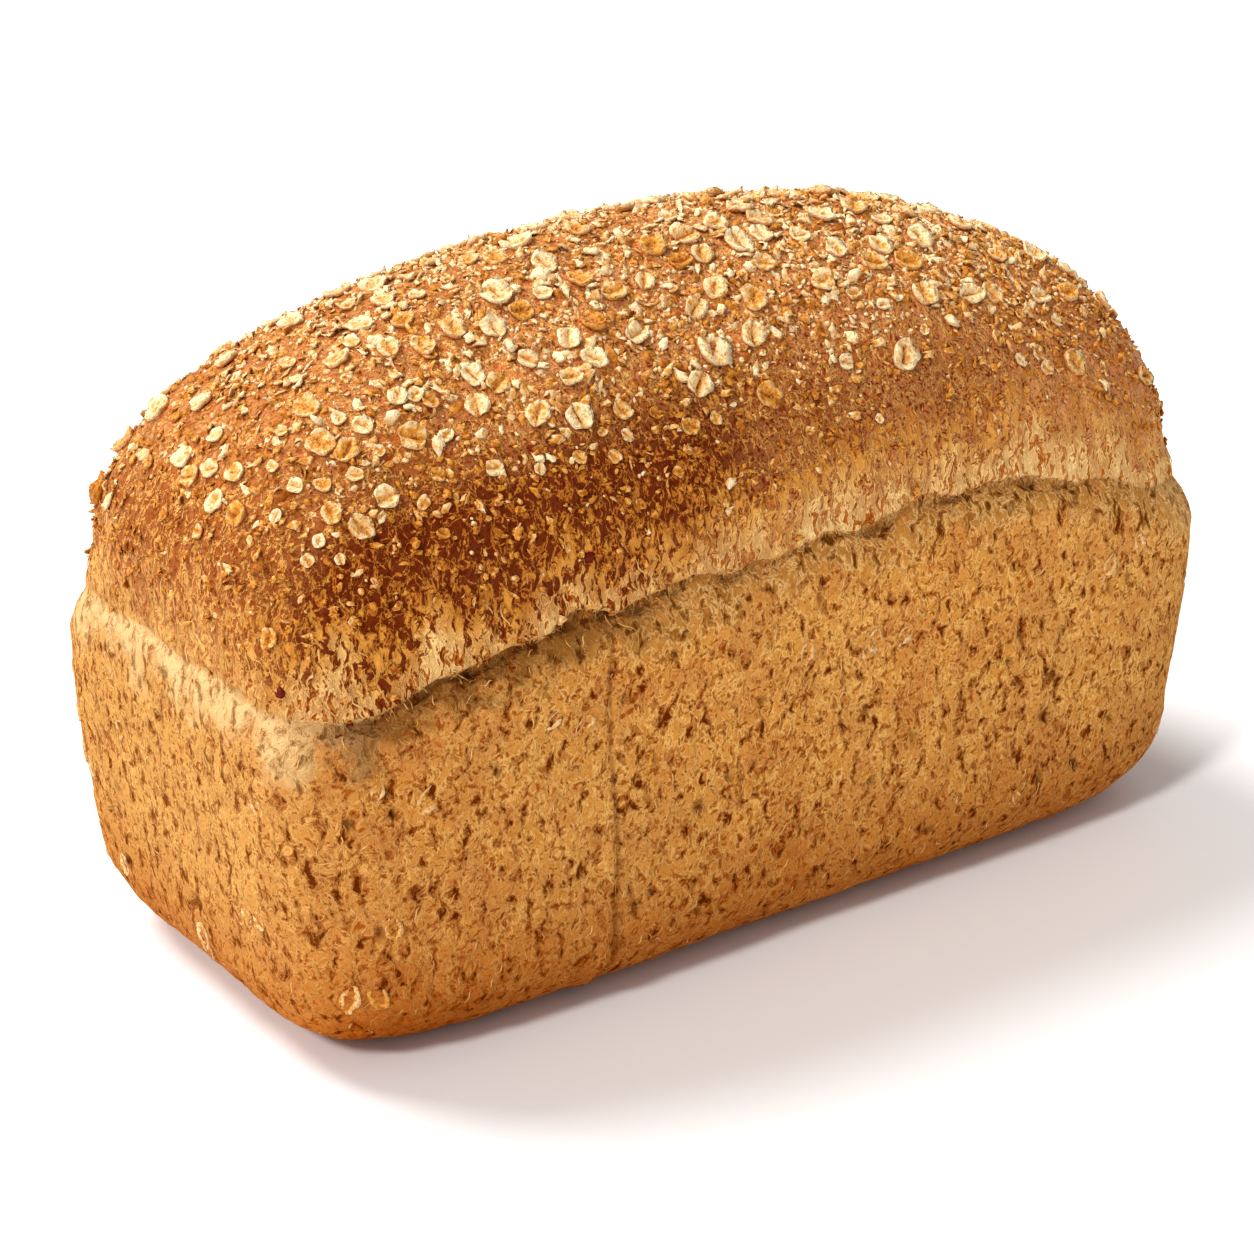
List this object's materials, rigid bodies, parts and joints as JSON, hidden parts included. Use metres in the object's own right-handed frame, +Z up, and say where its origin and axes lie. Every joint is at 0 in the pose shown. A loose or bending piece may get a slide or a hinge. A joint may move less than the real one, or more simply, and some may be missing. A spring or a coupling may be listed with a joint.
{
  "type": "tin loaf",
  "caption": "Uncut wholemeal tin loaf with a domed crown over a torn shred line, a seamed side wall and oat flakes baked onto the crown.",
  "frame": {"origin": "middle of the flat base, on the surface that the loaf rests on", "axes": "+X along the loaf, +Z up, -Y out of the long side with the dough seam"},
  "size_m": [0.25, 0.116, 0.1547],
  "materials": {
    "crust": "baked wholemeal crust, matt and finely pitted",
    "oats": "toasted rolled oat, matt"
  },
  "bodies": {
    "root": {"loaf": "crust"}
  },
  "joints": []
}
